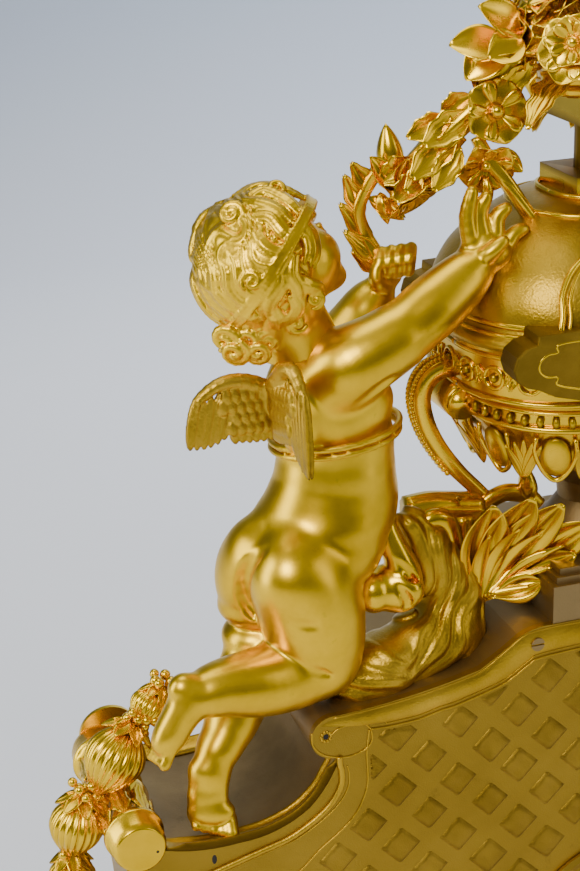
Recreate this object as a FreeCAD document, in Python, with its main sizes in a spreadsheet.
import FreeCAD, Part
import math
import os
import Sketcher
from FreeCAD import Placement, Rotation, Vector

# A gilt-bronze figure clock on a scrolled base. Millimetres, +Z up, the dial faces -Y.
# The origin is the centre of the footprint, on the surface that the feet stand on.

# Driving dimensions -----------------------------------------------------------------

DIMENSIONS = {
    "case_depth": 95.0, "plate_thickness": 3.5, "shell_wall": 6.0,
    "case_bottom": 32.0, "case_half_width": 248.0,
    "shoulder_half": 39.4, "shoulder_height": 285.6,
    "scroll_x": 150.0, "scroll_z": 248.3, "scroll_radius": 10.9,
    "volute_x": 243.6, "volute_z": 209.6, "volute_radius": 11.5,
    "cap_x": 236.0, "cap_z": 216.0, "cap_radius": 15.0, "cap_thickness": 4.0,
    "foot_radius": 17.0, "foot_height": 14.0, "foot_x": 228.0, "foot_y": 44.0,
    "moulding_half_width": 264.0, "moulding_depth": 130.0, "moulding_step": 8.0,
    "plinth_step": 3.0, "plinth_depth": 94.0, "plinth_top": 310.4,
    "dial_height": 106.0, "dial_radius": 62.0, "dial_thickness": 1.5, "dial_hole": 2.7,
    "winding_hole": 3.2, "front_opening": 60.0, "bezel_outer": 70.0, "bezel_lip": 57.0,
    "bezel_seat": 60.0, "bezel_inner": 65.0, "glass_radius": 59.8, "glass_thickness": 1.5,
    "door_opening": 48.0, "door_plug": 47.6, "door_flange": 53.2, "door_thickness": 1.6,
    "hinge_gap": 0.3, "hinge_pin": 1.0, "hinge_bore": 1.05, "hinge_barrel": 2.6,
    "hinge_length": 20.0, "knuckle_length": 8.0,
    "latch_reach": 36.0, "latch_shaft": 1.5, "latch_knob": 4.5,
    "tongue_width": 4.0, "tongue_thickness": 1.5, "tongue_length": 19.0,
    "movement_radius": 44.0, "movement_plate": 1.6, "front_plate_y": -31.0, "back_plate_y": 2.0,
    "pillar_radius": 2.5, "pillar_reach": 27.0, "arbor_radius": 1.2, "fine_arbor": 0.8,
    "running": 0.05, "barrel_module": 0.5, "train_module": 0.4, "fine_module": 0.35,
    "great_teeth": 84, "great_pinion": 12, "centre_teeth": 80, "third_pinion": 10,
    "third_teeth": 75, "escape_pinion": 10, "escape_teeth": 30, "escape_radius": 8.5,
    "pin_teeth": 64, "fly_pinion": 8, "drum_radius": 15.5, "winding_radius": 2.0,
    "anchor_rise": 13.0, "pendulum_drop": 94.0, "bob_radius": 12.0,
    "bell_radius": 30.0, "bell_wall": 1.5, "bell_mouth": 13.0, "bell_depth": 19.0,
    "rod_radius": 3.0, "nut_radius": 8.0, "nut_thickness": 5.0, "rod_top": 520.0,
    "stem_top": 350.0, "rim_height": 424.0, "urn_wall": 4.0, "urn_clear": 3.3,
    "cover_top": 482.0, "socket_half": 19.3, "cartouche_half": 52.0,
    "screw_head": 3.35, "screw_length": 6.0, "slot_width": 0.9,
    "wing_thickness": 3.0,
}

DOC = FreeCAD.newDocument("MantelClock")
SHEET = DOC.addObject("Spreadsheet::Sheet", "Sizes")


class Size:
    """A number that carries the sheet expression it comes from."""

    def __init__(self, value, text):
        self.value = value
        self.text = text

    def joined(self, sign, other, value):
        return Size(value, "(%s %s %s)" % (self.text, sign, as_size(other).text))

    def __add__(self, other):
        return self.joined("+", other, self.value + as_size(other).value)

    def __sub__(self, other):
        return self.joined("-", other, self.value - as_size(other).value)

    def __mul__(self, other):
        return self.joined("*", other, self.value * as_size(other).value)

    def __truediv__(self, other):
        return self.joined("/", other, self.value / as_size(other).value)

    def __radd__(self, other):
        return as_size(other) + self

    def __rsub__(self, other):
        return as_size(other) - self

    def __rmul__(self, other):
        return as_size(other) * self

    def __neg__(self):
        return self * -1.0

    def __float__(self):
        return float(self.value)


def as_size(value):
    return value if isinstance(value, Size) else Size(float(value), "(%r)" % float(value))


def fill_sheet():
    for row, (alias, value) in enumerate(DIMENSIONS.items(), start=1):
        SHEET.set("A%d" % row, alias)
        SHEET.set("B%d" % row, str(value))
        SHEET.setAlias("B%d" % row, alias)
    DOC.recompute()


def cell(alias):
    return Size(float(SHEET.get(alias)), "Sizes." + alias)


def bind(thing, path, value):
    """Set a property, and keep its expression when it comes from the sheet."""
    if isinstance(value, Size):
        thing.setExpression(path, value.text)
    elif path.startswith("Placement"):
        thing.setExpression(path, repr(float(value)))
    else:
        setattr(thing, path, float(value))


TURNS = {
    "Z": Rotation(),
    "Y": Rotation(Vector(1, 0, 0), -90),
    "-Y": Rotation(Vector(1, 0, 0), 90),
    "X": Rotation(Vector(0, 1, 0), 90),
}


def place(thing, position, axis="Z"):
    thing.Placement = Placement(Vector(*[float(value) for value in position]), TURNS[axis])
    for letter, value in zip("xyz", position):
        bind(thing, "Placement.Base." + letter, value)


# Primitives, sketches and bodies ----------------------------------------------------

def hidden(kind, name, position=(0, 0, 0), axis="Z", **sizes):
    """A primitive that a boolean uses."""
    thing = DOC.addObject(kind, name)
    for prop, value in sizes.items():
        bind(thing, prop, value)
    place(thing, position, axis)
    return thing


def cylinder(name, radius, height, position, axis="Z"):
    return hidden("Part::Cylinder", name, position, axis, Radius=radius, Height=height)


def box(name, length, width, height, position):
    return hidden("Part::Box", name, position, Length=length, Width=width, Height=height)


def cut(name, base, tool):
    thing = DOC.addObject("Part::Cut", name)
    thing.Base, thing.Tool = base, tool
    return thing


def fuse(name, shapes):
    thing = DOC.addObject("Part::MultiFuse", name)
    thing.Shapes = shapes
    thing.Refine = True
    return thing


def group(name, shapes):
    """Separate solids that share one node."""
    thing = DOC.addObject("Part::Compound", name)
    thing.Links = shapes
    return thing


NODES = []


def node(thing, label):
    thing.Label = label
    NODES.append(thing)
    return thing


def feature(label, shape):
    """A node whose shape comes from code."""
    thing = DOC.addObject("Part::Feature", label)
    thing.Shape = shape
    return node(thing, label)


def body_sketch(body, role, name):
    sketch = body.newObject("Sketcher::SketchObject", name)
    plane = [part for part in body.Origin.OriginFeatures if part.Role == role][0]
    sketch.AttachmentSupport = (plane, "")
    sketch.MapMode = "FlatFace"
    return sketch


def fix_point(sketch, index, end, across, up):
    """Tie a sketch point to the origin by its two distances."""
    for kind, value, axis in (("DistanceX", across, -2), ("DistanceY", up, -1)):
        if float(value) == 0.0:
            sketch.addConstraint(Sketcher.Constraint("PointOnObject", index, end, axis))
            continue
        number = sketch.addConstraint(
            Sketcher.Constraint(kind, -1, 1, index, end, float(value)))
        if isinstance(value, Size):
            sketch.setExpression("Constraints[%d]" % number, value.text)


def polygon(sketch, points):
    """A closed outline of straight lines, each corner tied to the origin."""
    count = len(points)
    corners = [Vector(float(x), float(y), 0) for x, y in points]
    for index in range(count):
        sketch.addGeometry(Part.LineSegment(corners[index], corners[(index + 1) % count]))
    for index in range(count):
        sketch.addConstraint(
            Sketcher.Constraint("Coincident", index, 2, (index + 1) % count, 1))
        fix_point(sketch, index, 1, *points[index])


def circle(sketch, x, y, radius):
    index = sketch.addGeometry(
        Part.Circle(Vector(float(x), float(y), 0), Vector(0, 0, 1), float(radius)))
    number = sketch.addConstraint(Sketcher.Constraint("Radius", index, float(radius)))
    if isinstance(radius, Size):
        sketch.setExpression("Constraints[%d]" % number, radius.text)
    fix_point(sketch, index, 3, x, y)


def pad(body, sketch, length, middle=False):
    thing = body.newObject("PartDesign::Pad", sketch.Name + "Pad")
    thing.Profile = sketch
    if middle:
        thing.Midplane = True
    bind(thing, "Length", length)
    return thing


def pocket(body, sketch, length=None):
    """Cut both ways from the sketch, through everything when no length is given."""
    thing = body.newObject("PartDesign::Pocket", sketch.Name + "Pocket")
    thing.Profile = sketch
    thing.Midplane = True
    if length is None:
        thing.Type = "ThroughAll"
    else:
        bind(thing, "Length", length)
    return thing


def new_body(label):
    return DOC.addObject("PartDesign::Body", label)


def turned(label, profile, position=(0, 0, 0), axis="Z"):
    """A body of revolution: the profile is (radius, height) pairs along its axis."""
    body = new_body(label)
    sketch = body_sketch(body, "XZ_Plane", label + "Profile")
    polygon(sketch, profile)
    turn = body.newObject("PartDesign::Revolution", label + "Turn")
    turn.Profile = sketch
    turn.ReferenceAxis = (sketch, ["V_Axis"])
    turn.Angle = 360
    place(body, position, axis)
    return body


# The base ---------------------------------------------------------------------------

def base_path():
    """Right half of the case outline: a start, then straight steps and arcs (middle, end)."""
    half, bottom = float(cell("case_half_width")), float(cell("case_bottom"))
    scroll_x, scroll_z = float(cell("scroll_x")), float(cell("scroll_z"))
    scroll_top = scroll_z + float(cell("scroll_radius")) - 0.2
    shoulder = (float(cell("shoulder_half")), float(cell("shoulder_height")))
    return [(half, bottom),
            [(half - 10, 118), (half + 3, 201)],
            [(float(cell("volute_x")), float(cell("volute_z")))],
            [(232.6, 206.4)],
            [(216.2, 202.6), (197.0, 202.2)],
            [(177.4, 205.2), (162.4, 213.2)],
            [(152.3, 226.0), (147.1, 237.2)],
            [(scroll_x - 4, scroll_z)],
            [(scroll_x, scroll_top)],
            [(112.0, 262.2), (76.9, 268.9)],
            [(66.7, 275.2), (56.6, 282.3)],
            [(51.0, 284.6), shoulder]]


def cavity_path():
    """Right half of the hollow inside the case shell."""
    wall, bottom = float(cell("shell_wall")), float(cell("case_bottom"))
    half = float(cell("case_half_width")) - wall - 2
    return [(half, bottom - 1),
            [(half, bottom + 10)],
            [(half - 9, 118), (half - 1, 194)],
            [(216.0, 195.6), (197.0, 195.4)],
            [(174.4, 198.6), (157.6, 208.2)],
            [(146.3, 222.0), (140.6, 237.2)],
            [(140.6, 252.0)],
            [(112.0, 255.4), (79.0, 261.6)],
            [(68.0, 268.4), (56.5, 276.0)],
            [(float(cell("shoulder_half")) - 2, float(cell("shoulder_height")) - wall)]]


def mirrored(path):
    """The same path on the other side, walked backwards."""
    starts = [path[0]] + [step[-1] for step in path[1:]]
    flip = lambda point: (-point[0], point[1])
    result = [flip(starts[-1])]
    for step, start in zip(reversed(path[1:]), reversed(starts[:-1])):
        result.append([flip(point) for point in step[:-1]] + [flip(start)])
    return result


def outline(sketch, right):
    """Close a half path and its mirror image into one sketch."""
    left = mirrored(right)
    steps = right[1:] + [[left[0]]] + left[1:] + [[right[0]]]
    here = right[0]
    for step in steps:
        start, end = Vector(*here, 0), Vector(*step[-1], 0)
        if len(step) == 2:
            sketch.addGeometry(Part.Arc(start, Vector(*step[0], 0), end))
        else:
            sketch.addGeometry(Part.LineSegment(start, end))
        here = step[-1]


SCROLLS = [("Scroll", "scroll"), ("Volute", "volute")]


def add_scrolls(body, label, length, middle):
    for name, prefix in SCROLLS:
        for side in (1, -1):
            sketch = body_sketch(body, "XZ_Plane", label + name + ("R" if side > 0 else "L"))
            circle(sketch, cell(prefix + "_x") * side, cell(prefix + "_z"),
                   cell(prefix + "_radius"))
            pad(body, sketch, length, middle)


def base_shell():
    body = new_body("BaseShell")
    depth = cell("case_depth") - cell("plate_thickness") * 2
    sketch = body_sketch(body, "XZ_Plane", "ShellOutline")
    outline(sketch, base_path())
    pad(body, sketch, depth, middle=True)
    add_scrolls(body, "Shell", depth, True)
    hollow = body_sketch(body, "XZ_Plane", "ShellHollow")
    outline(hollow, cavity_path())
    pocket(body, hollow, depth + 10)
    rod = body_sketch(body, "XY_Plane", "ShellRodHole")
    circle(rod, 0, 0, cell("rod_radius") + 0.2)
    pocket(body, rod)
    node(body, "base_shell")


def face_plate(label, front, opening, screws):
    """A front or rear plate over the shell's open side, with its round opening."""
    name = "Front" if front else "Rear"
    body = new_body(name + "Plate")
    thickness = cell("plate_thickness")
    sketch = body_sketch(body, "XZ_Plane", name + "Outline")
    outline(sketch, base_path())
    pad(body, sketch, thickness)
    add_scrolls(body, name, thickness, False)
    holes = body_sketch(body, "XZ_Plane", name + "Holes")
    circle(holes, 0, cell("dial_height"), opening)
    for x, z in screws:
        circle(holes, x, z, 1.6)
    pocket(body, holes, thickness * 4)
    edge = cell("case_depth") / 2
    place(body, (0, thickness - edge if front else edge, 0))
    node(body, label)


REAR_SCREWS = [(47.8, 277.2), (-47.8, 277.2), (232.0, 44.0), (-232.0, 44.0)]


def case_screws():
    """Slotted screws that hold the rear plate to the shell."""
    screws = []
    head, length = cell("screw_head"), cell("screw_length")
    back = cell("case_depth") / 2
    for number, (x, z) in enumerate(REAR_SCREWS):
        tag = "Screw%d" % number
        shank = cylinder(tag + "Shank", 1.5, cell("plate_thickness"),
                         (x, back - cell("plate_thickness"), z), "Y")
        cap = cylinder(tag + "Head", head, 1.6, (x, back, z), "Y")
        whole = fuse(tag + "Whole", [shank, cap])
        slot = box(tag + "Slot", length * 1.5, 1.0, cell("slot_width"),
                   (x - length * 0.75, back + 0.8, z - cell("slot_width") / 2))
        screws.append(cut(tag, whole, slot))
    node(group("CaseScrews", screws), "case_screws")


def volute_caps():
    """Ring-moulded roundels on the front ends of the two volutes."""
    caps = []
    radius, thick = cell("cap_radius"), cell("cap_thickness")
    for side in (1, -1):
        profile = [(0, 0), (radius, 0), (radius, thick * 0.6), (radius * 0.8, thick),
                   (radius * 0.7, thick * 0.6), (radius * 0.45, thick * 0.6),
                   (radius * 0.35, thick), (0, thick)]
        caps.append(turned("VoluteCap" + ("R" if side > 0 else "L"), profile,
                           (cell("cap_x") * side, cell("case_depth") / -2, cell("cap_z")),
                           "-Y"))
    node(group("VoluteCaps", caps), "volute_caps")


def base_moulding():
    body = new_body("BaseMoulding")
    low, step = cell("foot_height"), cell("moulding_step")
    total = cell("case_bottom") - low
    for name, inset, start, height in (("Lower", 0, low, total / 2),
                                       ("Upper", step, low + total / 2, total / 2)):
        half_x = cell("moulding_half_width") - inset
        half_y = cell("moulding_depth") / 2 - inset
        sketch = body_sketch(body, "XY_Plane", name + "Step")
        sketch.AttachmentOffset = Placement(Vector(0, 0, float(start)), Rotation())
        sketch.setExpression("AttachmentOffset.Base.z", start.text)
        polygon(sketch, [(half_x, half_y), (-half_x, half_y), (-half_x, -half_y),
                         (half_x, -half_y)])
        pad(body, sketch, height)
    node(body, "base_moulding")


def feet():
    parts = []
    radius, height = cell("foot_radius"), cell("foot_height")
    profile = [(0, 0), (radius * 0.7, 0), (radius, height * 0.35), (radius * 0.95, height * 0.6),
               (radius * 0.75, height * 0.72), (radius * 0.9, height), (0, height)]
    for sx in (1, -1):
        for sy in (1, -1):
            tag = "Foot%d%d" % (sx + 1, sy + 1)
            parts.append(turned(tag, profile, (cell("foot_x") * sx, cell("foot_y") * sy, 0)))
    node(group("Feet", parts), "feet")


def plinth():
    """Block that carries the urn, with a stepped top."""
    half, deep = cell("shoulder_half"), cell("plinth_depth") / 2
    low, top, step = cell("shoulder_height"), cell("plinth_top"), cell("plinth_step")
    parts = []
    for name, inset, start, end in (("Block", 0, low, top - step * 2),
                                    ("Ledge", step, top - step * 2, top - step),
                                    ("Cap", step * 2, top - step, top)):
        parts.append(box("Plinth" + name, (half - inset) * 2, (deep - inset) * 2, end - start,
                         (-(half - inset), -(deep - inset), start)))
    solid = fuse("PlinthSteps", parts)
    hole = cylinder("PlinthHole", cell("rod_radius") + 0.2, top - low + 4, (0, 0, low - 2))
    node(cut("Plinth", solid, hole), "plinth")


# The urn ----------------------------------------------------------------------------

def rounded_plan(half_x, half_y, z):
    """A rounded-rectangle wire, squarer than an ellipse, centred on the vertical axis."""
    radius = min(half_x, half_y) * 0.8
    edges = []
    corners = ((1, 1, 0), (-1, 1, 90), (-1, -1, 180), (1, -1, 270))
    arcs = []
    for sx, sy, start in corners:
        middle = Vector(sx * (half_x - radius), sy * (half_y - radius), z)
        arcs.append(Part.ArcOfCircle(Part.Circle(middle, Vector(0, 0, 1), radius),
                                     math.radians(start), math.radians(start + 90)))
    for index, arc in enumerate(arcs):
        edges.append(arc.toShape())
        following = arcs[(index + 1) % len(arcs)]
        if arc.EndPoint.distanceToPoint(following.StartPoint) > 1e-6:
            edges.append(Part.LineSegment(arc.EndPoint, following.StartPoint).toShape())
    return Part.Wire(edges)


def stacked(sections):
    """A solid lofted straight between plans given as (half_x, half_y, z)."""
    return Part.makeLoft([rounded_plan(*section) for section in sections], True, True)


def rod_hole(low, high):
    radius = float(cell("rod_radius")) + 0.2
    return Part.makeCylinder(radius, high - low, Vector(0, 0, low))


def urn():
    """Stem, bowl with frieze, cartouche plates and domed cover."""
    stem_top, rim = float(cell("stem_top")), float(cell("rim_height"))
    wall, top = float(cell("urn_wall")), float(cell("cover_top"))
    bowl = [(24, 24, stem_top), (38, 34, stem_top + 5), (55, 46, stem_top + 15),
            (64, 54, stem_top + 30), (66, 56, stem_top + 34), (68, 58, stem_top + 46),
            (73, 60, stem_top + 48), (74, 61, rim - 6), (77, 64, rim)]
    inside = [(55 - wall, 46 - wall, stem_top + 19), (64 - wall, 54 - wall, stem_top + 32),
              (73 - wall, 60 - wall, rim + 1)]
    body = stacked(bowl).cut(stacked(inside)).cut(rod_hole(stem_top - 1, rim))
    feature("urn_body", body)

    cover = [(79, 66, rim), (79, 66, rim + 4), (74, 62, rim + 7), (72, 60, rim + 18),
             (65, 54, rim + 32), (54, 45, rim + 43), (38, 34, rim + 53), (24, 23, top)]
    under = [(79 - 10, 66 - 10, rim - 1), (72 - wall, 60 - wall, rim + 16),
             (54 - wall, 45 - wall, rim + 38), (24, 20, rim + 48)]
    feature("urn_cover", stacked(cover).cut(stacked(under)).cut(rod_hole(rim, top + 1)))

    low = float(cell("plinth_top"))
    radius = cell("rod_radius") + 0.2
    profile = [(radius, 0), (26, 0), (26, 5), (20, 9), (14, 18), (15, 28), (22, 36),
               (24, stem_top - low), (radius, stem_top - low)]
    node(turned("UrnStem", profile, (0, 0, cell("plinth_top"))), "urn_stem")


def cartouche_plates():
    """Flat lobed plates on the urn's front and rear, over the frieze."""
    plates = []
    half, rim = float(cell("cartouche_half")), float(cell("rim_height"))
    lobe, thick = 13.0, 3.0
    low, high = rim - 34.0, rim - 0.5
    face = float(cell("urn_clear")) + 61.0
    for side in (1, -1):
        y = face if side > 0 else -face - thick
        shape = Part.makeBox((half - lobe) * 2, thick, high - low,
                             Vector(lobe - half, y, low))
        for sx in (1, -1):
            disc = Part.makeCylinder(lobe, thick, Vector(sx * (half - lobe), y, low + lobe + 3),
                                     Vector(0, 1, 0))
            shape = shape.fuse(disc)
        stand = Part.makeBox(half, 14.0, 16.0,
                             Vector(-half / 2, y - 14.0 if side > 0 else y + thick, low + 8))
        plates.append(shape.fuse(stand).cut(named("urn_body").Shape).removeSplitter())
    keep = [max(plate.Solids, key=lambda solid: solid.Volume) for plate in plates]
    feature("cartouche_plates", Part.makeCompound(keep))


def finial_socket():
    half = cell("socket_half")
    low = cell("cover_top")
    parts = [box("SocketStep", half * 2, half * 2, 9, (-half, -half, low)),
             cylinder("SocketNeck", 10.5, 26, (0, 0, low + 8)),
             box("SocketBlock", 36, 36, 13, (-18, -18, low + 32))]
    solid = fuse("SocketWhole", parts)
    bore = cylinder("SocketBore", cell("rod_radius") + 0.2, cell("rod_top") - low + 1,
                    (0, 0, low - 1))
    node(cut("FinialSocket", solid, bore), "finial_socket")


def tie_rod():
    """Rod from under the shoulder up through plinth, urn and cover into the socket."""
    start = cell("shoulder_height") - cell("shell_wall") - cell("nut_thickness") - 3
    node(cylinder("TieRod", cell("rod_radius"), cell("rod_top") - start, (0, 0, start)),
         "tie_rod")
    low = cell("shoulder_height") - cell("shell_wall") - cell("nut_thickness")
    nut = new_body("TieNut")
    sketch = body_sketch(nut, "XY_Plane", "NutFlats")
    radius = cell("nut_radius")
    polygon(sketch, [(radius * math.cos(math.radians(60 * k)),
                      radius * math.sin(math.radians(60 * k))) for k in range(6)])
    pad(nut, sketch, cell("nut_thickness"))
    hole = body_sketch(nut, "XY_Plane", "NutHole")
    circle(hole, 0, 0, cell("rod_radius") + 0.02)
    pocket(nut, hole)
    place(nut, (0, 0, low))
    node(nut, "tie_nut")


def named(label):
    return [thing for thing in NODES if thing.Label == label][0]


# Dial, hands, bezel and rear door ---------------------------------------------------

def dial():
    """Enamel dial over the front opening, with the hands' hole and two winding holes."""
    body = new_body("Dial")
    sketch = body_sketch(body, "XZ_Plane", "DialDisc")
    circle(sketch, 0, cell("dial_height"), cell("dial_radius"))
    circle(sketch, 0, cell("dial_height"), cell("dial_hole"))
    for side in (1, -1):
        x, z = barrel_place(side)
        circle(sketch, x, cell("dial_height") + z, cell("winding_hole"))
    pad(body, sketch, cell("dial_thickness"))
    place(body, (0, cell("case_depth") / -2, 0))
    node(body, "dial")


def bezel():
    """Cast ring with a lug on its hinge, and the glass in its seat."""
    back = cell("case_depth") / 2 + cell("hinge_gap")
    outer, inner = cell("bezel_outer"), cell("bezel_inner")
    lip, seat, deep = cell("bezel_lip"), cell("bezel_seat"), cell("dial_thickness") + 0.6
    profile = [(inner, 0), (outer, 0), (outer, 4), (outer - 3, 8), (inner - 1, 9),
               (seat, 13), (lip, 13), (lip, 11.5), (seat, 11.5), (seat, deep), (inner, deep)]
    ring = turned("BezelRing", profile, (0, -back, cell("dial_height")), "-Y")
    x, y = hinge_line("front")
    barrel = knuckle("BezelKnuckle", x, y, cell("dial_height"))
    arm = box("BezelArm", 5.0, 2.2, cell("knuckle_length"),
              (x + 1.3, y - 1.1, cell("dial_height") - cell("knuckle_length") / 2))
    arm_cut = cut("BezelArmCut", arm, hinge_hole("BezelHole", x, y, cell("dial_height")))
    node(fuse("Bezel", [ring, barrel, arm_cut]), "bezel")
    node(cylinder("DialGlass", cell("glass_radius"), cell("glass_thickness"),
                  (0, -(back + 11.5), cell("dial_height")), "Y"), "dial_glass")


def hinge_line(which):
    """Where the vertical hinge axes stand: the bezel's in front, the door's behind."""
    edge = cell("case_depth") / 2 + cell("hinge_gap") + cell("hinge_barrel") + 0.2
    if which == "front":
        return -(cell("bezel_outer") + cell("hinge_barrel") + 1.0), -edge
    return -(cell("door_flange") + cell("hinge_barrel") + 1.0), edge


def hinge_hole(name, x, y, z):
    length = cell("hinge_length") + 2
    return cylinder(name, cell("hinge_bore"), length, (x, y, z - length / 2))


def knuckle(name, x, y, z):
    """A barrel with a running bore round the hinge pin."""
    length = cell("knuckle_length")
    barrel = cylinder(name + "Barrel", cell("hinge_barrel"), length, (x, y, z - length / 2))
    return cut(name, barrel, hinge_hole(name + "Bore", x, y, z))


def hinge_pins():
    """The two hinge pins, each with the pair of lugs that hold it to its plate."""
    pins = []
    for which in ("front", "rear"):
        x, y = hinge_line(which)
        z, length = cell("dial_height"), cell("hinge_length")
        parts = [cylinder(which + "Pin", cell("hinge_pin"), length, (x, y, z - length / 2))]
        lug = (length - cell("knuckle_length")) / 2 - cell("hinge_gap")
        plate = cell("case_depth") / 2
        reach = cell("hinge_gap") + cell("hinge_barrel") + 0.2 + cell("hinge_barrel") * 0.7
        start = plate if which == "rear" else -(plate + reach)
        for side, low in (("Top", z + length / 2 - lug), ("Bottom", z - length / 2)):
            parts.append(box(which + side, 5.0, reach, lug, (x - 2.5, start, low)))
        pins.append(fuse(which + "Hinge", parts))
    node(group("HingePins", pins), "hinge_pins")


def rear_door():
    """Round flanged door with a plug in the rear opening, a knuckle and a turn latch."""
    z = cell("dial_height")
    plate = cell("case_depth") / 2
    plug, flange, thick = cell("door_plug"), cell("door_flange"), cell("door_thickness")
    profile = [(0, 0), (plug, 0), (plug, 3.3), (flange, 3.3), (flange, thick + 3.3),
               (flange - 3, thick + 4.3), (flange - 6, thick + 3.3), (0, thick + 3.3)]
    disc = turned("DoorDisc", profile, (0, plate - 3.0, z), "Y")
    x, y = hinge_line("rear")
    barrel = knuckle("DoorKnuckle", x, y, z)
    length = cell("knuckle_length")
    arm = box("DoorArm", 6.5, 1.6, length, (x + 1.6, plate + 0.4, z - length / 2))
    whole = fuse("DoorWhole", [disc, barrel, arm])
    bored = cut("DoorPinCut", whole, hinge_hole("DoorPinHole", x, y, z))
    across, radius = cell("latch_reach"), cell("latch_shaft")
    hole = cylinder("DoorLatchHole", radius + cell("running"), 20, (across, plate - 10, z), "Y")
    node(cut("RearDoor", bored, hole), "rear_door")
    inside, half = plate - 5.3, cell("tongue_width") / 2
    parts = [cylinder("LatchShaft", radius, 12.3, (across, inside, z), "Y"),
             cylinder("LatchKnob", cell("latch_knob"), 4.0, (across, plate + 3.2, z), "Y"),
             box("LatchTongue", half * 2, cell("tongue_thickness"), cell("tongue_length"),
                 (across - half, inside, z - half))]
    node(fuse("DoorLatch", parts), "door_latch")



def hand(label, length, pipe_outer, pipe_bore, y, pipe_length):
    """A pierced leaf hand on its pipe, pointing up at rest."""
    z = cell("dial_height")
    sketch_body = new_body(label + "Leaf")
    sketch = body_sketch(sketch_body, "XZ_Plane", label + "Outline")
    polygon(sketch, [(-1.0, z), (-1.4, z + length * 0.3), (-3.2, z + length * 0.52),
                     (-1.2, z + length * 0.72), (0, z + length), (1.2, z + length * 0.72),
                     (3.2, z + length * 0.52), (1.4, z + length * 0.3), (1.0, z)])
    pad(sketch_body, sketch, 0.8)
    eye = body_sketch(sketch_body, "XZ_Plane", label + "Eye")
    circle(eye, 0, z + length * 0.52, 1.6)
    pocket(sketch_body, eye, 4)
    place(sketch_body, (0, y, 0))
    boss = cylinder(label + "Pipe", pipe_outer, pipe_length, (0, y - 0.8, z), "Y")
    whole = fuse(label + "Whole", [sketch_body, boss])
    bore = cylinder(label + "Bore", pipe_bore, pipe_length + 4, (0, y - 2.8, z), "Y")
    return cut(label, whole, bore)


def hands():
    front = cell("case_depth") / -2
    cannon, running = 1.6, cell("running")
    node(hand("HourHand", 34.0, 2.4, running + cannon, front - 4.0, 9.0), "hour_hand")
    node(hand("MinuteHand", 50.0, cannon, cell("arbor_radius"), front - 6.6, 11.0),
         "minute_hand")


# The movement -----------------------------------------------------------------------

def barrel_place(side):
    """Barrel centres below the hands, out from the centre arbor by the great mesh."""
    reach = cell("barrel_module") * (cell("great_teeth") + cell("great_pinion")) / 2
    across = reach * math.sqrt(0.5)
    return across * side, -across


def train_places():
    """Axes of the arbors, across and above the dial centre."""
    third_reach = cell("train_module") * (cell("centre_teeth") + cell("third_pinion")) / 2
    escape_reach = cell("fine_module") * (cell("third_teeth") + cell("escape_pinion")) / 2
    third = (third_reach * 0.5, third_reach * math.sqrt(0.75))
    rise = math.sqrt(float(escape_reach) ** 2 - float(third[0]) ** 2)
    escape = (as_size(0), third[1] + rise)
    going, strike = barrel_place(-1), barrel_place(1)
    pin_reach = cell("barrel_module") * (cell("great_teeth") + cell("great_pinion")) / 2
    pin = (strike[0] + pin_reach * math.cos(math.radians(75)),
           strike[1] + pin_reach * math.sin(math.radians(75)))
    fly_reach = cell("train_module") * (cell("pin_teeth") + cell("fly_pinion")) / 2
    fly = (pin[0] + fly_reach * 0.5, pin[1] + fly_reach * math.sqrt(0.75))
    return {"centre": (as_size(0), as_size(0)), "going": going, "strike": strike,
            "third": third, "escape": escape, "anchor": (as_size(0), escape[1] + cell("anchor_rise")),
            "pin": pin, "fly": fly, "hammer": (as_size(27.0), as_size(-27.0))}


ARBORS = {"centre": "arbor_radius", "going": "winding_radius", "strike": "winding_radius",
          "third": "fine_arbor", "escape": "fine_arbor", "anchor": "fine_arbor",
          "pin": "fine_arbor", "fly": "fine_arbor", "hammer": "arbor_radius"}


def movement_plates():
    """Two round brass plates, bored for every arbor, and the pillars between them."""
    thick, running = cell("movement_plate"), cell("running")
    for label, start in (("front_movement_plate", "front_plate_y"),
                         ("back_movement_plate", "back_plate_y")):
        body = new_body(start.replace("_y", "").title().replace("_", ""))
        disc = body_sketch(body, "XZ_Plane", label + "Disc")
        circle(disc, 0, cell("dial_height"), cell("movement_radius"))
        pad(body, disc, thick)
        holes = body_sketch(body, "XZ_Plane", label + "Holes")
        for name, (x, z) in PLACES.items():
            if name == "hammer" and start == "front_plate_y":
                continue
            circle(holes, x, cell("dial_height") + z, cell(ARBORS[name]) + running)
        pocket(body, holes, thick * 4)
        place(body, (0, cell(start) + thick, 0))
        node(body, label)
    reach, inner = cell("pillar_reach"), cell("front_plate_y") + thick
    pillars = []
    for sx, sz in ((0, -1.45), (-1.45, 0), (-0.9, 0.95), (0.72, 1.12)):
        pillars.append(cylinder("Pillar%d" % len(pillars), cell("pillar_radius"),
                                cell("back_plate_y") - inner,
                                (reach * sx, inner, cell("dial_height") + reach * sz), "Y"))
    node(group("Pillars", pillars), "pillars")


def toothed(x, z, teeth, module, start, thick, phase):
    """A wheel or pinion: straight-sided teeth, slim enough to run with backlash."""
    pitch = module * teeth / 2.0
    root, tip = pitch - 1.15 * module, pitch + 0.75 * module
    turn = 2 * math.pi / teeth
    points = []
    for number in range(teeth):
        middle = phase + number * turn
        for radius, spread in ((root, -0.24), (tip, -0.09), (tip, 0.09), (root, 0.24)):
            angle = middle + spread * turn
            points.append(Vector(x + radius * math.sin(angle), start,
                                 z + radius * math.cos(angle)))
    wire = Part.makePolygon(points + points[:1])
    return Part.Face(wire).extrude(Vector(0, thick, 0))


def rod(x, z, radius, start, end):
    return Part.makeCylinder(radius, end - start, Vector(x, start, z), Vector(0, 1, 0))


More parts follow.
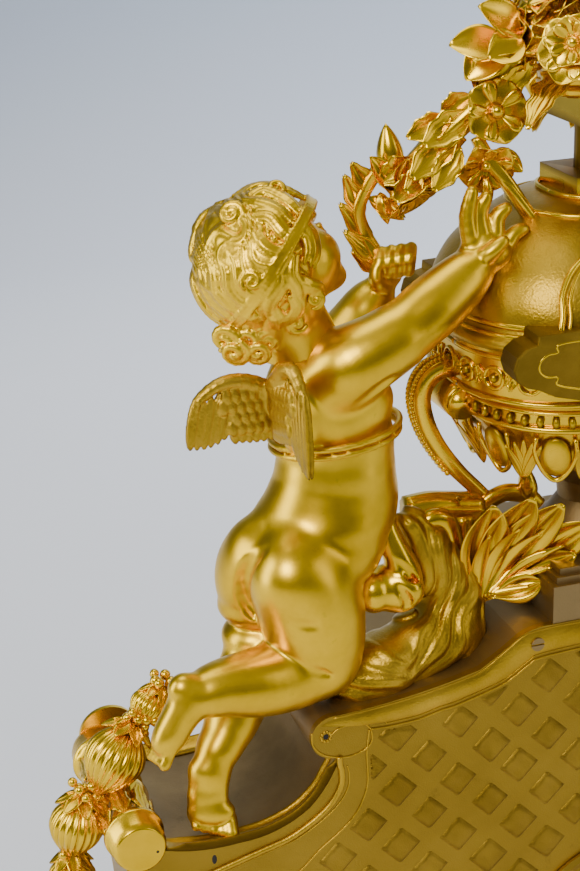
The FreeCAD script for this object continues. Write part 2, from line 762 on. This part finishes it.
def mesh_phases():
    """Phases that put each follower's gap on its driver's tooth along their line."""
    phases = {"great_going": 0.0, "centre_wheel": 0.0, "great_strike": 0.0}
    chain = [("going", "great_teeth", "great_going", "centre", "great_pinion", "centre_pinion"),
             ("centre", "centre_teeth", "centre_wheel", "third", "third_pinion", "third_pinion"),
             ("third", "third_teeth", "third_wheel", "escape", "escape_pinion",
              "escape_pinion"),
             ("strike", "great_teeth", "great_strike", "pin", "great_pinion", "pin_pinion"),
             ("pin", "pin_teeth", "pin_wheel", "fly", "fly_pinion", "fly_pinion")]
    for driver, teeth, wheel, follower, leaves, pinion in chain:
        phases.setdefault(wheel, 0.0)
        (x0, z0), (x1, z1) = PLACES[driver], PLACES[follower]
        line = math.atan2(float(x1) - float(x0), float(z1) - float(z0))
        wheel_turn = 2 * math.pi / float(cell(teeth))
        pinion_turn = 2 * math.pi / float(cell(leaves))
        offset = ((line - phases[wheel]) / wheel_turn) % 1.0
        phases[pinion] = line + math.pi - (0.5 - offset) * pinion_turn
    return phases


def wheel_body(label, place_name, pieces, shafts, hole=None):
    """Wheels, pinions and shafts on one axis, as one solid."""
    x, z = (float(value) for value in PLACES[place_name])
    z += float(cell("dial_height"))
    shapes = [toothed(x, z, int(float(cell(teeth))), float(cell(module)), start, thick,
                      PHASES[phase]) for teeth, module, start, thick, phase in pieces]
    shapes += [rod(x, z, float(radius), start, end) for radius, start, end in shafts]
    shape = shapes[0].multiFuse(shapes[1:]).removeSplitter()
    if hole is not None:
        shape = shape.cut(rod(x, z, hole, -80.0, 60.0))
    feature(label, shape)


def trains():
    """Going train, strike train and the two winding arbors."""
    arbor, fine = cell("arbor_radius"), cell("fine_arbor")
    drum, wind = cell("drum_radius"), cell("winding_radius")
    bore = float(wind + cell("running"))
    front, back = float(cell("front_plate_y")), float(cell("back_plate_y"))
    reach = (front, back + float(cell("movement_plate")))
    wheel_body("centre_wheel", "centre",
               [("centre_teeth", "train_module", -5.0, 1.0, "centre_wheel"),
                ("great_pinion", "barrel_module", -13.0, 2.8, "centre_pinion")],
               [(arbor, -57.6, reach[1]), (1.5, -10.2, -5.0)])
    wheel_body("going_barrel", "going",
               [("great_teeth", "barrel_module", -12.0, 1.6, "great_going")],
               [(drum, -26.0, -12.0)], bore)
    wheel_body("strike_barrel", "strike",
               [("great_teeth", "barrel_module", -10.0, 1.6, "great_strike")],
               [(drum, -26.0, -12.7), (4.0, -12.7, -10.0)], bore)
    wheel_body("third_wheel", "third",
               [("third_pinion", "train_module", -6.0, 3.0, "third_pinion"),
                ("third_teeth", "fine_module", -1.6, 0.9, "third_wheel")],
               [(fine, *reach)])
    wheel_body("strike_wheel", "pin",
               [("great_pinion", "barrel_module", -10.0, 1.6, "pin_pinion"),
                ("pin_teeth", "train_module", -7.6, 0.8, "pin_wheel")],
               [(fine, *reach)])
    for label, name in (("going_arbor", "going"), ("strike_arbor", "strike")):
        x, z = (float(value) for value in PLACES[name])
        z += float(cell("dial_height"))
        size = 3.0
        square = Part.makeBox(size, 8.0, size, Vector(x - size / 2, -50.5, z - size / 2))
        shaft = rod(x, z, float(wind), -43.0, reach[1])
        feature(label, shaft.fuse(square).removeSplitter())
    x, z = (float(value) for value in PLACES["fly"])
    z += float(cell("dial_height"))
    vane = Part.makeBox(12.0, 12.0, 0.6, Vector(x - 6.0, -26.0, z - 0.3))
    leaves = toothed(x, z, int(float(cell("fly_pinion"))), float(cell("train_module")), -8.2,
                     2.0, PHASES["fly_pinion"])
    feature("fly", rod(x, z, float(fine), *reach).multiFuse([vane, leaves]).removeSplitter())


def escape_wheel():
    """Thirty slender raked teeth on a rim, with its pinion."""
    x, z = (float(value) for value in PLACES["escape"])
    z += float(cell("dial_height"))
    tip, teeth = float(cell("escape_radius")), int(float(cell("escape_teeth")))
    points = []
    for number in range(teeth):
        start = 2 * math.pi * number / teeth
        for radius, share in ((tip - 1.8, 0.0), (tip, 0.45), (tip, 0.53), (tip - 1.8, 0.5)):
            angle = start + share * 2 * math.pi / teeth
            points.append(Vector(x + radius * math.sin(angle), -8.5,
                                 z + radius * math.cos(angle)))
    rim = Part.Face(Part.makePolygon(points + points[:1])).extrude(Vector(0, 0.8, 0))
    pinion = toothed(x, z, int(float(cell("escape_pinion"))), float(cell("fine_module")), -2.6,
                     2.9, PHASES["escape_pinion"])
    arbor = rod(x, z, float(cell("fine_arbor")), float(cell("front_plate_y")), 3.6)
    feature("escape_wheel", rim.multiFuse([pinion, arbor]).removeSplitter())


def pendulum():
    """Anchor with its arbor and crutch, pendulum rod, bob, and the cock above."""
    x, z = (float(value) for value in PLACES["anchor"])
    z += float(cell("dial_height"))
    drop, front = float(cell("pendulum_drop")), float(cell("front_plate_y"))
    rise = float(cell("anchor_rise"))
    band = float(cell("escape_radius")) + 2.8
    ring = rod(x, z - rise, band, -8.6, -7.6).cut(rod(x, z - rise, band - 1.8, -9.6, -6.6))
    window = Part.makeBox(band * 1.6, 3.0, band, Vector(-band * 0.8, -9.6, z - rise + 3.0))
    stem = Part.makeBox(2.0, 1.0, rise - band + 2.0, Vector(-1.0, -8.6, z - rise + band - 1.0))
    crutch = Part.makeBox(1.6, 0.9, 26.0, Vector(-0.8, 4.2, z - 26.0))
    fork = Part.makeBox(1.2, 2.6, 2.0, Vector(-0.6, 4.2, z - 26.0))
    parts = [ring.common(window), stem, crutch, fork]
    arbor = rod(x, z, float(cell("fine_arbor")), front, 5.6)
    feature("anchor", arbor.multiFuse(parts).removeSplitter())
    strip = Part.makeBox(3.0, 1.0, drop - 10.5, Vector(-1.5, 6.8, z - drop + 11.0))
    nut = rod(x, z - drop, 1.6, 5.6, 9.2)
    hook = Part.makeBox(1.2, 1.6, 3.0, Vector(-0.6, 5.6, z - 2.6))
    feature("pendulum_rod", strip.multiFuse([hook.cut(arbor)]).removeSplitter())
    bob = float(cell("bob_radius"))
    lens = Part.makeSphere(25.0, Vector(0, 7.3 + 25.0 - 4.0, z - drop))
    other = Part.makeSphere(25.0, Vector(0, 7.3 - 25.0 + 4.0, z - drop))
    disc = rod(x, z - drop, bob, 2.0, 12.6).common(lens).common(other)
    feature("pendulum_bob", disc.fuse(nut).cut(strip).removeSplitter())
    low = Part.makeBox(12.0, 5.6, 2.4, Vector(-6.0, 3.6, z + 1.2))
    feature("suspension_cock", low)


def hammer_and_bell():
    """Bell on its curved bracket behind the plate, and the hammer beside it."""
    z = cell("dial_height")
    radius, wall = cell("bell_radius"), cell("bell_wall")
    mouth, deep = cell("bell_mouth"), cell("bell_depth")
    profile = [(radius, 0), (radius * 0.93, deep * 0.4), (radius * 0.72, deep * 0.8),
               (radius * 0.4, deep), (2.05, deep), (2.05, deep - wall),
               (radius * 0.38, deep - wall), (radius * 0.69, deep * 0.8 - wall),
               (radius * 0.93 - wall, deep * 0.4 - wall * 0.5), (radius - wall, 0)]
    node(turned("Bell", profile, (0, mouth, z), "Y"), "bell")
    end = mouth + deep
    parts = [box("BellPost", 4, end + 3.0 - 3.6, 8, (-41, 3.6, z - 4)),
             box("BellBridge", 41.0, 2.5, 8, (-41, end + 0.5, z - 4)),
             cylinder("BellScrew", 2.0, 6.0, (0, end - 3.0, z), "Y"),
             cylinder("BellNut", 4.0, 2.6, (0, end, z), "Y")]
    node(fuse("BellStand", parts), "bell_stand")
    x, up = (float(value) for value in PLACES["hammer"])
    up += float(z)
    head = (33.6, up + 20.6)
    arbor = rod(x, up, float(cell("arbor_radius")), float(cell("back_plate_y")) - 1.0, 19.0)
    arm = capsule((x, 17.5, up, 1.0), (head[0], 17.5, head[1], 1.0))
    knob = rod(head[0] + 1.5, head[1], 2.8, 14.0, 21.0)
    feature("hammer", arbor.multiFuse([arm, knob]).removeSplitter())


def movement_straps():
    """Two flat bars that clamp the movement between the case's two plates."""
    radius, depth = cell("movement_radius"), cell("case_depth") - cell("plate_thickness") * 2
    straps = []
    for side in (0, -1):
        x = radius if side == 0 else -(radius + 2.0)
        straps.append(box("Strap%d" % -side, 2.0, depth, 8.0,
                          (x, depth / -2, cell("dial_height") - 18.0)))
    node(group("MovementStraps", straps), "movement_straps")


# Ornament: cherubs, garlands, handles and leaves, as plain closed forms ---------------

def capsule(first, second):
    """A tapered limb between two balls, each given as (x, y, z, radius)."""
    a, b = Vector(*first[:3]), Vector(*second[:3])
    along = b - a
    ends = [Part.makeSphere(first[3], a), Part.makeSphere(second[3], b)]
    if abs(first[3] - second[3]) < 1e-6:
        shaft = Part.makeCylinder(first[3], along.Length, a, along)
    else:
        shaft = Part.makeCone(first[3], second[3], along.Length, a, along)
    return shaft.multiFuse(ends)


def chain(points):
    """Capsules end to end through (x, y, z, radius) points."""
    links = [capsule(points[k], points[k + 1]) for k in range(len(points) - 1)]
    return links[0].multiFuse(links[1:]) if len(links) > 1 else links[0]


# Joints of the figure on the +X side: place and radius.
FIGURE = {
    "head": (170, 8, 466, 29), "jaw": (156, 7, 452, 20), "neck": (149, 10, 428, 13),
    "chest": (138, 11, 402, 28), "belly": (132, 12, 366, 27), "pelvis": (152, 15, 332, 30),
    "near_shoulder": (136, 30, 421, 15), "near_elbow": (107, 30, 438, 13),
    "near_wrist": (77, 24, 454, 9), "near_palm": (64, 22, 467, 9),
    "near_finger": (63, 22, 484, 4),
    "far_shoulder": (126, -9, 419, 13), "far_elbow": (108, -14, 426, 11),
    "far_palm": (99, -14, 447, 8),
    "near_hip": (160, 29, 326, 24), "near_knee": (153, 30, 277.4, 18.4),
    "near_ankle": (210, 42, 283, 10), "near_toe": (230, 44, 258, 7),
    "far_hip": (172, 3, 318, 22), "far_knee": (181, 7, 279, 16),
    "far_ankle": (203, 27, 240, 10), "far_toe": (211, 36, 210.8, 8.6),
}

FIGURE_LINKS = [
    ("jaw", "neck"), ("neck", "chest"), ("chest", "belly"), ("belly", "pelvis"),
    ("chest", "near_shoulder"), ("near_shoulder", "near_elbow"), ("near_elbow", "near_wrist"),
    ("near_wrist", "near_palm"), ("near_palm", "near_finger"),
    ("chest", "far_shoulder"), ("far_shoulder", "far_elbow"), ("far_elbow", "far_palm"),
    ("pelvis", "near_hip"), ("near_hip", "near_knee"), ("near_knee", "near_ankle"),
    ("near_ankle", "near_toe"), ("pelvis", "far_hip"), ("far_hip", "far_knee"),
    ("far_knee", "far_ankle"), ("far_ankle", "far_toe"),
]


def cherub():
    parts = [capsule(FIGURE[a], FIGURE[b]) for a, b in FIGURE_LINKS]
    *middle, radius = FIGURE["head"]
    parts.append(Part.makeSphere(radius, Vector(*middle)))
    return parts[0].multiFuse(parts[1:])


def wings():
    """Two small wings on the shoulder blades."""
    thick = float(cell("wing_thickness"))
    shapes = []
    for root, bend, tip in (((166, 27, 404), (190, 29, 420), (203, 31, 402)),
                            ((150, 45, 412), (163, 50, 426), (161, 50, 386))):
        shapes.append(chain([(*root, thick), (*bend, thick * 2.2), (*tip, thick * 1.4)]))
    return shapes


SEAT = [(127, 16, 270, 12), (106, 16, 276, 14), (88, 16, 276, 14), (79, 14, 290, 11),
        (92, 10, 314, 9), (88, 8, 330, 5)]
DRAPERY = [(118, 26, 330, 8), (108, 24, 308, 12), (112, 18, 290, 8)]
GARLAND = [(104, -15, 451, 3), (110, -18, 474, 3.5), (104, -16, 491, 5), (91, -12, 504, 6),
           (74, -8, 513, 7), (54, 0, 522, 8), (34, 4, 538, 7), (20, 4, 548, 5)]
BRANCH = [(66, 2, 511, 5), (54, 10, 493, 5), (38, 14, 474, 3)]
HANDLE = [(66, 0, 391, 9), (77, 0, 403, 5), (89, 0, 399, 4), (91, 0, 388, 4),
          (84, 0, 371, 4), (69, 0, 350, 4.5), (52, 0, 332, 5)]
ACANTHUS = [(58, 14, 296, 8), (56, 14, 318, 7), (53, 14, 336, 4)]
ACANTHUS_SIDES = [[(56, 14, 300, 7), (40, 18, 316, 6), (26, 20, 338, 4)],
                  [(58, 12, 300, 7), (66, 10, 322, 5), (76, 8, 338, 4)]]
HUSKS = [(165, -14, 264, 3), (195, -8, 262, 3), (222, 2, 255, 7), (236, 8, 244, 5),
         (248, 10, 232, 13), (258, 10, 217, 6), (266, 10, 203, 12), (270, 10, 190, 5),
         (271, 10, 180, 12), (270, 10, 166, 4), (269, 10, 156, 10), (267, 10, 143, 4),
         (266, 10, 134, 8), (265, 10, 120, 3)]
BOUQUET = [(0, 0, 528, 20), (0, 0, 548, 34), (0, 0, 566, 30), (0, 0, 582, 18)]


def both_sides(name, shape):
    """The +X piece and its mirror image, each its own node."""
    feature(name + "_right", shape)
    feature(name + "_left", shape.mirror(Vector(0, 0, 0), Vector(1, 0, 0)))


def largest(shape):
    """The main solid of a cut, without slivers."""
    return max(shape.Solids, key=lambda solid: solid.Volume)


def ornaments():
    """Each casting is cut back where the one before it stands."""
    shell = named("base_shell").Shape.fuse(named("rear_plate").Shape)
    plinth_shape, urn_shape = named("plinth").Shape, named("urn_body").Shape
    figure = largest(cherub().cut(shell).cut(named("urn_cover").Shape))
    both_sides("cherub", figure)
    wing_pair = [largest(wing.cut(figure)) for wing in wings()]
    both_sides("wings", Part.makeCompound(wing_pair))
    knot = largest(chain(DRAPERY).cut(figure))
    both_sides("drapery", knot)
    rock = largest(chain(SEAT).cut(shell).cut(figure).cut(knot).cut(plinth_shape))
    both_sides("seat_rock", rock)
    handle = largest(chain(HANDLE).cut(urn_shape).cut(named("urn_stem").Shape))
    leaf = chain(ACANTHUS).multiFuse([chain(side) for side in ACANTHUS_SIDES])
    solid_parts = [shell, plinth_shape, rock, named("urn_stem").Shape, handle, urn_shape]
    for part in solid_parts:
        leaf = leaf.cut(part)
    both_sides("acanthus", largest(leaf))
    both_sides("handle", handle)
    blooms = largest(chain(BOUQUET).cut(named("finial_socket").Shape)
                     .cut(named("tie_rod").Shape))
    feature("bouquet", blooms)
    spray = chain(GARLAND).fuse(chain(BRANCH)).cut(figure).cut(blooms)
    spray = spray.cut(named("urn_cover").Shape).cut(named("finial_socket").Shape)
    both_sides("garland", largest(spray))
    caps = named("volute_caps").Shape
    husks = chain(HUSKS).cut(shell).cut(figure).cut(caps)
    both_sides("husk_chain", largest(husks))


# Build, check and write -------------------------------------------------------------

fill_sheet()
PLACES = train_places()
PHASES = mesh_phases()

base_shell()
face_plate("front_plate", True, cell("front_opening"), [])
face_plate("rear_plate", False, cell("door_opening"), REAR_SCREWS)
case_screws()
volute_caps()
base_moulding()
feet()
plinth()
DOC.recompute()
urn()
cartouche_plates()
finial_socket()
tie_rod()
dial()
bezel()
hinge_pins()
rear_door()
hands()
movement_plates()
trains()
escape_wheel()
pendulum()
hammer_and_bell()
movement_straps()
DOC.recompute()
ornaments()
DOC.recompute()

for thing in DOC.Objects:
    if "Invalid" in thing.State or "Error" in thing.State:
        raise RuntimeError("%s failed: %s" % (thing.Name, thing.State))
os.makedirs("parts", exist_ok=True)
for thing in NODES:
    shape = thing.Shape
    if shape.isNull() or not shape.isValid() or not shape.Solids:
        raise RuntimeError(thing.Label + " has no valid solid")
    shape.exportStep("parts/%s.step" % thing.Label)
print(len(NODES), "nodes")
